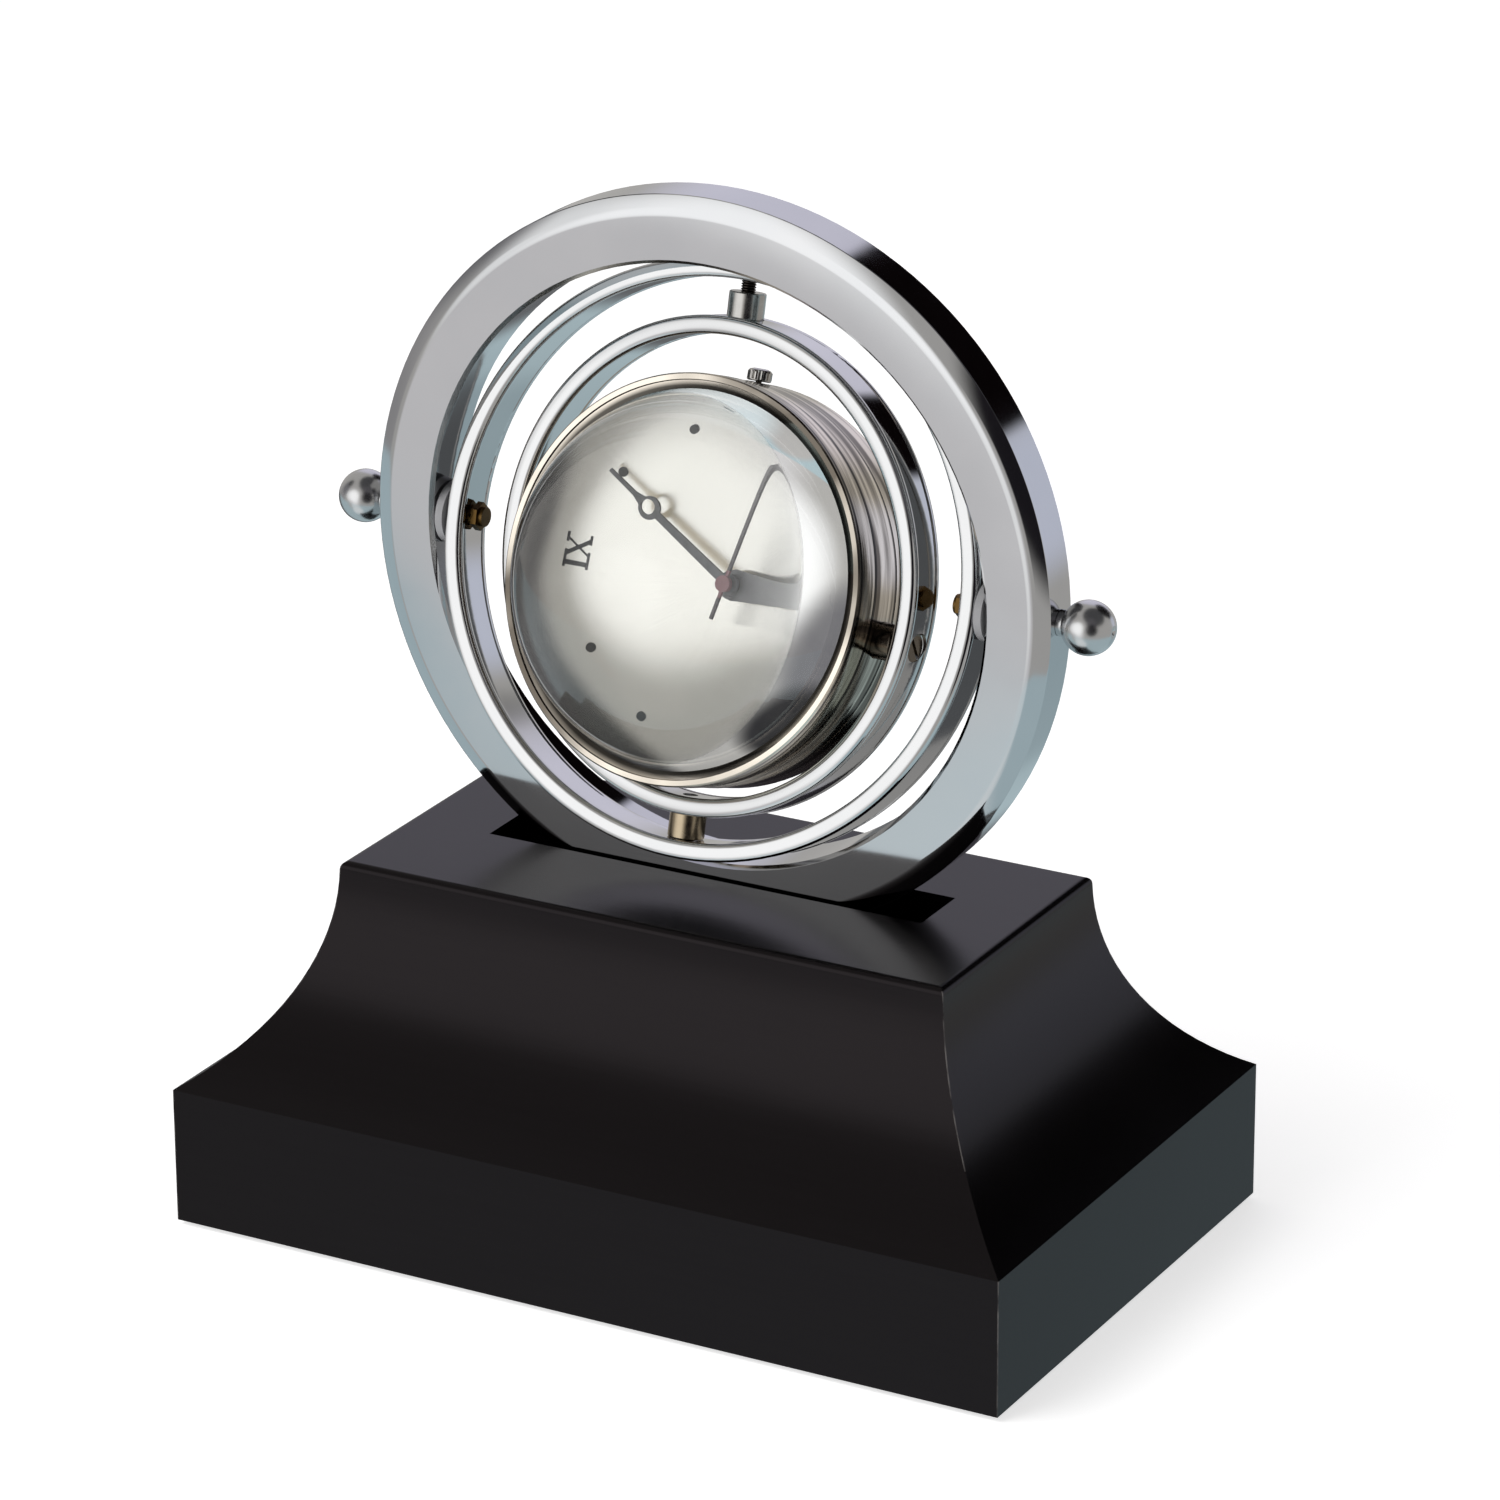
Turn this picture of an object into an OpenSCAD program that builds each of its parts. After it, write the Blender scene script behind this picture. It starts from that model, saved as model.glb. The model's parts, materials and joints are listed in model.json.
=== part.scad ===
// Spinning desk clock: a domed clock that tumbles inside three nested rings on a wooden base.
// Millimetres. X is left to right, Y goes back from the front, Z is up, the desk is at Z = 0.

/* [Base] */
// width of the plinth, left to right
base_w = 185; // [160:1:240]
// depth of the plinth, front to back
base_d = 114; // [96:1:160]
// height of the plinth's upright sides above the desk
plinth_h = 29.5; // [20:0.5:40]
// height of the platform above the desk
platform_z = 74.6; // [60:0.2:90]
// how far the cove sets the platform back from the plinth on each side
cove_in = 25; // [15:0.5:28]
// rounding of the platform's upper edges
platform_round = 1.5; // [0.5:0.1:3]
// thickness of the felt under the base
felt_t = 1; // [0.6:0.1:3]
// how far the felt stays inside the plinth's edge
felt_inset = 3; // [1:0.5:10]
// extra slot length beyond the ring on each side
slot_end_gap = 11; // [4:0.5:16]
// gap between ring and slot, front and back
slot_side_gap = 1; // [0.3:0.1:2]

/* [Outer ring] */
// distance of the ring's centre behind the middle of the base
ring_y = 2; // [-4:0.5:6]
// how deep the ring stands in the slot
ring_sink = 10.3; // [6:0.1:14]
// radial gap between the middle and outer rings
outer_gap = 2.4; // [1.8:0.1:6]
// radial width of the ring
outer_w = 13.4; // [11:0.1:15]
// thickness front to back
outer_t = 12.4; // [12:0.1:16]
// radial width of the outer bevels
bevel_w = 4; // [1:0.1:6]
// depth of the outer bevels
bevel_d = 2; // [0.5:0.1:3]
// small bevel at the inner edges
inner_bevel = 0.8; // [0.2:0.1:1.5]
// distance of the two fixing screws from the middle
fix_x = 10; // [6:0.5:16]
// radius of the fixing screws
fix_r = 2; // [1.5:0.1:3]
// length of fixing screw inside the ring
fix_grip = 8; // [5:0.5:9]
// wood left between screw head and slot floor
fix_wood = 12; // [8:0.5:20]
// radius of the fixing washers
fix_washer_r = 4.5; // [4:0.1:6]
// thickness of the fixing washers
fix_washer_t = 1; // [0.6:0.1:2]
// radius of the fixing screw heads
fix_head_r = 3.5; // [3.2:0.1:5]
// height of the fixing screw heads
fix_head_h = 2.6; // [2:0.1:4]

/* [Side pivots] */
// radius of the ball knobs
ball_r = 5.4; // [4:0.1:7]
// how much of the ball its outer flat takes away
ball_cut = 0.15; // [0.05:0.05:1]
// width of the neck between ring and ball
neck_gap = 0.5; // [0.3:0.1:2]
// radius of the neck
neck_r = 2.6; // [2.3:0.1:3.5]
// radius of the pin in the outer ring
pin_r = 2; // [1.7:0.05:2.2]
// radius of the pin's thinner threaded end
stud_r = 1.6; // [1.2:0.05:1.65]
// radius of the nylon washers
nylon_r = 6.2; // [4:0.1:6.6]
// play left beside the nylon washers
nylon_play = 0.2; // [0.1:0.05:0.5]
// wall of the cap nut's collar and round end
nut_wall = 0.35; // [0.3:0.05:0.8]
// height of the collar
collar_h = 0.6; // [0.6:0.1:1.5]
// corner radius of the nut's six sides
hex_r = 2.9; // [2.4:0.05:3.4]
// height of the six-sided part
hex_h = 1.3; // [1.2:0.1:2.4]
// height of the nut's round end
boss_h = 0.9; // [0.9:0.1:1.6]

/* [Gimbal rings] */
// radial gap between the inner and middle rings
ring_gap = 6.2; // [5.4:0.1:8]
// width across each ring's wall at the beads
bead_d = 3.7; // [3:0.1:3.9]
// half of the middle ring's width front to back
middle_half = 6; // [5:0.1:7]
// how far the wall stands back from the beads
wall_step = 0.15; // [0.05:0.05:0.3]
// lean of the middle ring in the rest pose, top going back
middle_lean = 14.2; // [0:0.1:40]
// radial gap between the bezel and the inner ring
case_gap = 5.1; // [4.6:0.1:8]
// half of the inner ring's width front to back
inner_half = 5.35; // [4.5:0.05:6]
// how far the inner ring hangs below the middle
inner_drop = 1.25; // [0.6:0.05:1.6]
// turn of the inner ring in the rest pose, right side forward
inner_turn = 6.6; // [0:0.1:40]

/* [Pivot screws and spacers] */
// radius of the pivot screws
screw_r = 1.5; // [1.2:0.05:1.6]
// radius of the countersunk heads
head_r = 2.8; // [2.4:0.05:3]
// height of the countersunk heads
head_h = 1.4; // [1.2:0.05:1.8]
// width of the driver slots
driver_w = 0.8; // [0.5:0.05:1.2]
// depth of the driver slots
driver_d = 0.7; // [0.4:0.05:0.9]
// turn of the driver slot in the right clock screw
driver_turn = 40; // [0:1:180]
// radius of the spacers
spacer_r = 3.65; // [3:0.05:3.7]
// play left at the end of the lower spacer
spacer_play = 0.2; // [0.1:0.05:0.5]
// bevel at the spacers' ends
spacer_bevel = 0.2; // [0.1:0.05:0.4]
// pitch of the bare thread
thread_p = 0.5; // [0.4:0.05:0.7]
// depth of the bare thread
thread_d = 0.3; // [0.2:0.02:0.4]

/* [Clock place] */
// how far the clock's cross pivots sit below the inner ring's middle
cross_drop = 7.8; // [6:0.1:8]
// lean of the clock against the inner ring in the rest pose, top going back
clock_lean = 6; // [0:0.1:30]
// turn of the case on its pivots, right side going back
clock_turn = 2.8; // [-3:0.1:3]
// distance of the pivots behind the bezel's front
pivot_depth = 13.9; // [13:0.05:14.5]
// height of the clock's middle above its pivots
clock_rise = 4.4; // [3.8:0.1:5]

/* [Case] */
// how far the bezel stands outside the glass
bezel_wall = 2.2; // [2:0.05:3]
// depth of the bezel
bezel_h = 6.3; // [6:0.05:7.2]
// how far the case band stands outside the glass
band_wall = 2; // [1.8:0.05:3]
// thickness of the shelf that the glass rests on
shelf_t = 1.25; // [0.8:0.05:2]
// width of that shelf under the glass
shelf_w = 2; // [1:0.1:4]
// how far the rear cup stands outside the glass
cup_rim = 1.8; // [1.6:0.05:3]
// free space behind the movement
rear_space = 1.75; // [1:0.05:4]
// wall of the rear cup
cup_wall = 1.8; // [1.2:0.05:2]
// floor of the rear cup
cup_floor = 1.8; // [1.2:0.05:2.4]
// rounding of the rear cup's edge
cup_round = 3; // [2:0.1:4]
// how far the back cover stays inside the cup's edge
cover_margin = 9.8; // [6:0.1:20]
// thickness of the back cover
cover_t = 1; // [0.8:0.05:1.2]
// gap at the seams
seam = 0.1; // [0.05:0.05:0.2]
// bevel at the seams
seam_bevel = 0.25; // [0.1:0.05:0.4]

/* [Glass and dial] */
// radius of the glass ball
glass_r = 38; // [37.6:0.05:38.1]
// depth of the ball's centre behind the bezel's front
glass_c = 10; // [9.6:0.1:10.4]
// depth of the glass's flat back
glass_back = 13.2; // [13:0.05:13.4]
// thickness of the gasket
gasket_t = 0.4; // [0.3:0.05:0.45]
// gap between the shelf and the dial
dial_gap = 0.05; // [0.02:0.01:0.3]
// thickness of the dial
dial_t = 0.4; // [0.3:0.05:0.5]
// gap between the dial's edge and the cup
dial_rim_gap = 0.8; // [0.3:0.05:1.4]
// thickness of the ink
ink_t = 0.08; // [0.05:0.01:0.12]
// distance of the dots from the dial's middle
dot_ring = 18.7; // [14:0.1:26]
// radius of the dots
dot_r = 0.5; // [0.3:0.05:0.9]
// distance of the numerals' feet from the dial's middle
numeral_foot = 18.1; // [14:0.1:26]
// height of the numerals
numeral_h = 2.45; // [1.6:0.05:4]
// thick stroke of the numerals
stroke = 0.48; // [0.3:0.02:0.7]
// thin stroke and serifs of the numerals
hairline = 0.2; // [0.12:0.02:0.3]

/* [Hands] */
// minutes shown in the rest pose
show_minute = 49.9; // [0:0.1:59.9]
// hour shown in the rest pose
show_hour = 2.2; // [0:0.1:11.9]
// seconds shown in the rest pose
show_second = 2.1; // [0:0.1:59.9]
// thickness of the hour and minute hands
hand_t = 0.2; // [0.15:0.01:0.22]
// length of the minute hand
minute_l = 19.6; // [15:0.1:30]
// distance of the minute hand's open ring from the middle
minute_eye = 13.6; // [8:0.1:14.5]
// radius of the minute hand's open ring
eye_r = 1.33; // [1:0.01:2.2]
// radius of the hole in the open ring
eye_hole = 0.86; // [0.5:0.01:0.95]
// width of the minute hand at its root
minute_w = 1.15; // [0.7:0.05:1.5]
// length of the hour hand
hour_l = 12.5; // [9:0.1:14]
// distance of the hour hand's open ring from the middle
hour_eye = 8.4; // [5:0.1:9]
// width of the hour hand at its root
hour_w = 3.8; // [1.2:0.05:4]
// length of the second hand
second_l = 16.5; // [12:0.1:30]
// length of the second hand's tail
second_tail = 4.6; // [2:0.1:8]
// width of the second hand
second_w = 0.42; // [0.25:0.01:0.6]
// radius of the second hand's disc
second_disc = 1.05; // [0.7:0.05:1.6]

/* [Movement] */
// radius of the movement
move_r = 10; // [9.6:0.1:12]
// thickness of the movement's main plate
plate_t = 2.1; // [2:0.05:2.2]
// radius of the second arbor
arbor_r = 0.3; // [0.25:0.01:0.32]
// outer radius of the minute tube
tube_r = 0.7; // [0.6:0.01:0.75]
// outer radius of the hour pipe
pipe_r = 1.1; // [1:0.01:1.15]
// height of the holder round the movement
holder_h = 6; // [5:0.1:8]
// radius of the button cell
cell_r = 3.4; // [3:0.05:3.6]
// height of the button cell
cell_h = 2.6; // [2:0.05:2.8]
// distance of the button cell from the movement's edge
cell_margin = 0.68; // [0.4:0.02:1]
// radius of the coil
coil_r = 1; // [0.7:0.05:1.2]
// length of the coil
coil_l = 5; // [3:0.1:5.5]
// depth of the stem behind the dial's face
stem_behind = 1.6; // [1.5:0.02:1.7]
// radius of the stem
stem_r = 0.6; // [0.5:0.01:0.65]

/* [Crown] */
// radius of the crown
crown_r = 2.45; // [2:0.05:3]
// height of the crown
crown_h = 2.5; // [1.8:0.05:3.2]
// number of flutes round the crown
flutes = 20; // [12:1:28]
// radius of each flute
flute_r = 0.24; // [0.15:0.01:0.3]
// gap under the crown
crown_gap = 0.35; // [0.2:0.05:0.6]
// how far the crown pulls out
crown_pull = 1.2; // [0.8:0.1:1.4]

/* [Fits] */
// radial clearance of turning pivots
run_fit = 0.05; // [0.03:0.01:0.08]
// radial clearance of fixed pins
fix_fit = 0.02; // [0.01:0.01:0.04]
// gap left between faces that pass each other
pass_gap = 0.1; // [0.08:0.01:0.15]

/* [Hidden] */
$fn = 96;
cove_rise = platform_z - plinth_h;
cove_r = (cove_in * cove_in + cove_rise * cove_rise) / (2 * cove_in);
// radii from the glass outwards
bezel_or = glass_r + bezel_wall;
band_or = glass_r + band_wall;
cup_or = glass_r + cup_rim;
cup_ir = cup_or - cup_wall;
skirt_ir = glass_r + 0.15;
skirt_or = skirt_ir + 0.75;
shelf_r = glass_r - shelf_w;
dial_r = cup_ir - dial_rim_gap;
cover_r = cup_or - cover_margin;
lip_z = 1.35;
lip_r = sqrt(glass_r * glass_r - (glass_c - lip_z) * (glass_c - lip_z)) + pass_gap;
inner_ir = bezel_or + case_gap;
inner_or = inner_ir + bead_d;
middle_ir = inner_or + ring_gap;
middle_or = middle_ir + bead_d;
outer_ir = middle_or + outer_gap;
outer_or = outer_ir + outer_w;
ring_z = platform_z - ring_sink + outer_or;
slot_floor = platform_z - ring_sink - fix_fit;
slot_chord = sqrt(outer_or * outer_or - (outer_or - ring_sink) * (outer_or - ring_sink));
slot_len = 2 * (slot_chord + slot_end_gap);
slot_w = outer_t + 2 * slot_side_gap;
fix_head_z = slot_floor - fix_wood;
// walls between the beads
middle_in = middle_ir + wall_step;
middle_out = middle_or - wall_step;
inner_in = inner_ir + wall_step;
inner_out = inner_or - wall_step;
// side pivots
ball_flat = ball_r - ball_cut;
shoulder_x = middle_or + pass_gap;
nylon_x = shoulder_x + pass_gap;
nylon_t = sqrt(outer_ir * outer_ir - nylon_r * nylon_r) - nylon_x - pass_gap - nylon_play;
collar_r = stud_r + nut_wall;
boss_r = stud_r + nut_wall;
// upright pivots, their spacers stand in round spot-faces of the inner ring
spot_z = sqrt(inner_out * inner_out - (spacer_r + pass_gap) * (spacer_r + pass_gap)) - 0.1;
upper_foot = spot_z - inner_drop;
lower_foot = spot_z + inner_drop + fix_fit;
spacer_l = middle_in - lower_foot - spacer_play;
head_top = middle_out - pass_gap;
// cross pivots
cross_head = sqrt(inner_out * inner_out - (cross_drop + head_r) * (cross_drop + head_r));
cross_spacer_out = sqrt(inner_in * inner_in - (cross_drop + spacer_r) * (cross_drop + spacer_r)) - pass_gap;
spot_x = band_or - 0.75;
screw_tip = sqrt(glass_r * glass_r - (clock_rise - screw_r) * (clock_rise - screw_r)) + 0.3;
// depths behind the bezel's front
band_start = bezel_h + seam / 2;
shelf_z = glass_back + gasket_t + pass_gap;
band_end = shelf_z + shelf_t;
cup_start = band_end + seam;
dial_z = band_end + dial_gap;
hour_z = dial_z - 0.6;
minute_z = hour_z - 0.22 - hand_t;
second_z = minute_z - 0.21 - 0.15;
disc_z = second_z - 0.12;
plate_z = dial_z + dial_t + 0.1;
plate_end = plate_z + plate_t;
bridge_z = plate_end + 1.2;
bridge_t = 0.4;
holder_z = plate_z - 0.05;
cup_end = holder_z + holder_h + rear_space + cup_floor;
stem_z = dial_z + stem_behind;
cell_x = -0.794 * (move_r - cell_r - cell_margin);
cell_y = 0.608 * (move_r - cell_r - cell_margin);
minute_angle = show_minute * 6;
hour_angle = show_hour * 30 + show_minute / 2;
second_angle = show_second * 6;
groove_y = 7.7;
groove_w = 0.4;

// Frames: each ring carries the next one.
module at_outer() translate([0, ring_y, ring_z]) children();
module at_middle() at_outer() rotate([-middle_lean, 0, 0]) children();
module at_inner() at_middle() translate([0, 0, -inner_drop]) rotate([0, 0, -inner_turn]) children();
module at_clock() at_inner() translate([0, 0, -cross_drop]) rotate([-clock_lean, 0, 0]) children();
// In the case frame x is right, y is down, z is the depth behind the bezel's front.
module at_case() at_clock() rotate([0, 0, clock_turn]) translate([0, -pivot_depth, clock_rise]) rotate([-90, 0, 0]) children();
module turned_y() rotate([-90, 0, 0]) rotate_extrude() children();
module along_x() rotate([0, 90, 0]) children();
module clockwise(a) rotate([0, 0, a]) children();

// Stand
// One cove and one rounded platform edge, along Y, on the side where x is positive.
module cove_cut(half, long) {
    top = half - cove_in;
    translate([top + cove_r, 0, platform_z]) rotate([90, 0, 0]) cylinder(r = cove_r, h = long, center = true);
    difference() {
        translate([top - platform_round, -long / 2, platform_z - platform_round]) cube([3 * platform_round, long, 3 * platform_round]);
        translate([top - platform_round, 0, platform_z - platform_round]) rotate([90, 0, 0]) cylinder(r = platform_round, h = long + 2, center = true);
    }
}
module wood_base() color("#1d1c1d") difference() {
    translate([-base_w / 2, -base_d / 2, felt_t]) cube([base_w, base_d, platform_z - felt_t]);
    for (a = [0, 180]) rotate([0, 0, a]) cove_cut(base_w / 2, base_d + 20);
    for (a = [90, 270]) rotate([0, 0, a]) cove_cut(base_d / 2, base_w + 20);
    translate([-slot_len / 2, ring_y - slot_w / 2, slot_floor]) cube([slot_len, slot_w, ring_sink + 10]);
    for (s = [-1, 1]) translate([s * fix_x, ring_y, 0]) {
        cylinder(r = fix_washer_r + 1.5, h = fix_head_z);
        cylinder(r = fix_r + 0.3, h = slot_floor + 1);
    }
}
module felt_pad() color("#16211b")
    translate([-base_w / 2 + felt_inset, -base_d / 2 + felt_inset, 0])
        cube([base_w - 2 * felt_inset, base_d - 2 * felt_inset, felt_t]);
module outer_ring() color("#c9ccd0") difference() {
    at_outer() turned_y() polygon([
        [outer_ir + inner_bevel, -outer_t / 2], [outer_or - bevel_w, -outer_t / 2], [outer_or, -outer_t / 2 + bevel_d],
        [outer_or, outer_t / 2 - bevel_d], [outer_or - bevel_w, outer_t / 2], [outer_ir + inner_bevel, outer_t / 2],
        [outer_ir, outer_t / 2 - inner_bevel], [outer_ir, -outer_t / 2 + inner_bevel]]);
    at_outer() along_x() cylinder(r = pin_r + run_fit, h = 2 * outer_or + 4, center = true);
    for (s = [-1, 1]) translate([s * fix_x, ring_y, slot_floor - 1]) cylinder(r = fix_r + fix_fit, h = fix_grip + 2);
}
module ring_screws() color("#8d8a84") for (s = [-1, 1]) translate([s * fix_x, ring_y, 0]) difference() {
    union() {
        translate([0, 0, fix_head_z - fix_washer_t - fix_head_h]) cylinder(r = fix_head_r, h = fix_head_h);
        translate([0, 0, fix_head_z - fix_washer_t - 0.5]) cylinder(r = fix_r, h = fix_wood + fix_washer_t + fix_grip);
    }
    translate([0, 0, fix_head_z - fix_washer_t - fix_head_h - 1]) cylinder(r = fix_r * 0.8, h = 2.4, $fn = 6);
}
module ring_washers() color("#a9a7a2") for (s = [-1, 1]) translate([s * fix_x, ring_y, fix_head_z - fix_washer_t]) difference() {
    cylinder(r = fix_washer_r, h = fix_washer_t);
    translate([0, 0, -1]) cylinder(r = fix_r + 0.2, h = fix_washer_t + 2);
}

// Middle ring and its side pivots
module band_profile(ir, half) {
    b = bead_d / 2;
    translate([ir + wall_step, b - half]) square([bead_d - 2 * wall_step, 2 * (half - b)]);
    for (s = [-1, 1]) translate([ir + b, s * (half - b)]) circle(r = b);
}
module countersink(top, over) {
    translate([0, 0, top - head_h - run_fit]) cylinder(r1 = screw_r + run_fit, r2 = head_r + 2 * run_fit, h = head_h + run_fit);
    translate([0, 0, top - 0.01]) cylinder(r = head_r + 2 * run_fit, h = over);
}
module middle_ring() color("#c9ccd0") at_middle() difference() {
    turned_y() band_profile(middle_ir, middle_half);
    along_x() cylinder(r = stud_r + fix_fit, h = 2 * middle_or + 4, center = true);
    cylinder(r = screw_r + run_fit, h = 2 * middle_or + 4, center = true);
    for (a = [0, 180]) rotate([a, 0, 0]) countersink(head_top, 2);
}
module knob() {
    c = outer_or + neck_gap + ball_r;
    difference() {
        union() {
            intersection() {
                translate([c, 0, 0]) sphere(r = ball_r);
                translate([c + ball_flat - 2 * ball_r, 0, 0]) cube(4 * ball_r, center = true);
                translate([outer_or + neck_gap + 0.3 + 2 * ball_r, 0, 0]) cube(4 * ball_r, center = true);
            }
            translate([outer_or + run_fit, 0, 0]) along_x() cylinder(r = neck_r, h = neck_gap + 2);
            translate([shoulder_x, 0, 0]) along_x() cylinder(r = pin_r, h = outer_or + neck_gap - shoulder_x);
            translate([middle_in - collar_h - hex_h - boss_h + 0.8, 0, 0]) along_x()
                cylinder(r = stud_r, h = shoulder_x - middle_in + collar_h + hex_h + boss_h - 0.3);
        }
        translate([c + ball_flat - 0.5, 0, 0]) along_x() cylinder(r1 = 0.05, r2 = 0.75, h = 0.55);
    }
}
module knob_left() color("#b9bcc0") at_middle() rotate([0, 0, 180]) knob();
module knob_right() color("#b9bcc0") at_middle() knob();
module nylon_washer() translate([nylon_x, 0, 0]) along_x() difference() {
    cylinder(r = nylon_r, h = nylon_t);
    translate([0, 0, -1]) cylinder(r = pin_r + fix_fit, h = nylon_t + 2);
}
module nylon_washer_left() color("#d9d9d6") at_middle() rotate([0, 0, 180]) nylon_washer();
module nylon_washer_right() color("#d9d9d6") at_middle() nylon_washer();
module cap_nut() rotate([0, -90, 0]) translate([0, 0, -middle_in + 0.03]) difference() {
    union() {
        cylinder(r = collar_r, h = collar_h + 0.2);
        translate([0, 0, collar_h]) cylinder(r = hex_r, h = hex_h, $fn = 6);
        translate([0, 0, collar_h + hex_h - 0.2]) cylinder(r = boss_r, h = boss_h + 0.2);
    }
    translate([0, 0, -1]) cylinder(r = stud_r + fix_fit, h = collar_h + hex_h + boss_h + 0.4);
}
module nut_left() color("#7a5f33") at_middle() rotate([0, 0, 180]) cap_nut();
module nut_right() color("#7a5f33") at_middle() cap_nut();

// Inner ring and its upright pivots
module inner_ring() color("#c9ccd0") at_inner() difference() {
    turned_y() band_profile(inner_ir, inner_half);
    cylinder(r = screw_r + fix_fit, h = 2 * inner_or + 4, center = true);
    for (a = [0, 180]) rotate([a, 0, 0]) translate([0, 0, spot_z]) cylinder(r = spacer_r + pass_gap, h = 2);
    translate([0, 0, -cross_drop]) {
        along_x() cylinder(r = screw_r + run_fit, h = 2 * inner_or + 4, center = true);
        for (a = [90, -90]) rotate([0, a, 0]) countersink(cross_head, 4);
    }
}
module slotted_screw(top, tip, turn) difference() {
    union() {
        translate([0, 0, top - head_h]) cylinder(r1 = screw_r, r2 = head_r, h = head_h);
        translate([0, 0, tip]) cylinder(r = screw_r, h = top - head_h - tip + 0.2);
    }
    rotate([0, 0, turn]) translate([-head_r - 1, -driver_w / 2, top - driver_d]) cube([2 * head_r + 2, driver_w, driver_d + 1]);
}
module bare_thread(from, to) {
    n = floor((to - from) / thread_p);
    rotate_extrude() polygon(concat([[screw_r + 1, from]],
        [for (i = [0 : n - 1]) each [[screw_r, from + i * thread_p + 0.05], [screw_r - thread_d, from + (i + 0.5) * thread_p], [screw_r, from + (i + 1) * thread_p - 0.05]]],
        [[screw_r + 1, from + n * thread_p]]));
}
module upper_pivot_screw() color("#4a4744") at_inner() translate([0, 0, inner_drop]) difference() {
    slotted_screw(head_top, inner_in - inner_drop + 0.4, 30);
    bare_thread(upper_foot + spacer_l, middle_in);
}
module lower_pivot_screw() color("#4a4744") at_inner() translate([0, 0, inner_drop]) rotate([180, 0, 0])
    slotted_screw(head_top, inner_in + inner_drop + 0.4, 70);
module spacer(len) rotate_extrude() polygon([
    [screw_r + fix_fit, 0], [spacer_r - spacer_bevel, 0], [spacer_r, spacer_bevel],
    [spacer_r, len - spacer_bevel], [spacer_r - spacer_bevel, len], [screw_r + fix_fit, len]]);
module upper_spacer() color("#b4b1ac") at_inner() translate([0, 0, inner_drop + upper_foot + fix_fit]) spacer(spacer_l);
module lower_spacer() color("#b3a88f") at_inner() translate([0, 0, inner_drop]) rotate([180, 0, 0]) translate([0, 0, lower_foot]) spacer(spacer_l);

// Clock case
module cross_axis() rotate([90, 0, 0]) translate([0, pivot_depth, -clock_rise]) rotate([0, 0, -clock_turn]) children();
module cross_cuts() {
    cross_axis() along_x() cylinder(r = screw_r + fix_fit, h = 2 * bezel_or + 4, center = true);
    for (a = [90, -90]) cross_axis() rotate([0, a, 0]) translate([0, 0, spot_x]) cylinder(r = spacer_r + pass_gap, h = 4 + bezel_wall);
}
module case_band() color("#aaa7a2") at_case() difference() {
    rotate_extrude() polygon([
        [skirt_or + 0.05, band_start], [band_or - seam_bevel, band_start], [band_or, band_start + seam_bevel],
        [band_or, band_end - seam_bevel], [band_or - seam_bevel, band_end], [shelf_r, band_end],
        [shelf_r, shelf_z], [skirt_ir, shelf_z], [skirt_ir, bezel_h + 2.1], [skirt_or + 0.05, bezel_h + 2.1]]);
    cross_cuts();
}
module bezel() color("#b6b2ab") at_case() difference() {
    rotate_extrude() polygon([
        [bezel_or - 1.3, 0], [bezel_or - 0.3, 0], [bezel_or, 0.3], [bezel_or, bezel_h - seam_bevel], [bezel_or - seam_bevel, bezel_h],
        [skirt_or, bezel_h], [skirt_or, bezel_h + 2], [skirt_ir, bezel_h + 2], [skirt_ir, lip_z + 1.95],
        [lip_r, lip_z], [lip_r, lip_z - 0.35], [bezel_or - 1.45, 0.5]]);
    cross_cuts();
}
module case_back() color("#a5a29d") at_case() difference() {
    rotate_extrude() difference() {
        translate([0, cup_start]) square([cup_or, cup_end - cup_start]);
        translate([-1, cup_start - 1]) square([cup_ir + 1, cup_end - cup_floor - cup_start + 1]);
        translate([-1, cup_end - cover_t]) square([cover_r + fix_fit + 1, cover_t + 1]);
        translate([-1, cup_end - cup_floor - 1]) square([cover_r - 2 + 1, cup_floor + 2]);
        translate([cup_or - seam_bevel, cup_start]) rotate([0, 0, 45]) translate([0, -2]) square([2, 2]);
        difference() {
            translate([cup_or - cup_round, cup_end - cup_round]) square(cup_round + 1);
            translate([cup_or - cup_round, cup_end - cup_round]) circle(r = cup_round);
        }
    }
    translate([0, 0, stem_z]) rotate([90, 0, 0]) cylinder(r = stem_r + run_fit, h = cup_or + 4);
    cross_cuts();
}
module back_cover() color("#b0ada8") at_case() difference() {
    translate([0, 0, cup_end - cover_t]) cylinder(r = cover_r, h = cover_t);
    translate([0, cover_r, cup_end]) cube([6, 1.6, 0.9], center = true);
}
module glass_dome() color("#e6eef0", 0.4) at_case() difference() {
    union() {
        translate([0, 0, glass_c]) sphere(r = glass_r);
        translate([0, 0, glass_c]) cylinder(r = glass_r, h = glass_back - glass_c);
    }
    translate([-2 * glass_r, -2 * glass_r, glass_back]) cube(4 * glass_r);
}
module lens_gasket() color("#2b2b2b") at_case() translate([0, 0, glass_back + pass_gap / 2]) difference() {
    cylinder(r = glass_r - 0.1, h = gasket_t);
    translate([0, 0, -1]) cylinder(r = shelf_r + 0.2, h = gasket_t + 2);
}
module dial() color("#dcdbd8") at_case() translate([0, 0, dial_z]) difference() {
    cylinder(r = dial_r, h = dial_t);
    translate([0, 0, -1]) cylinder(r = pipe_r + 0.3, h = dial_t + 2);
}

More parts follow.
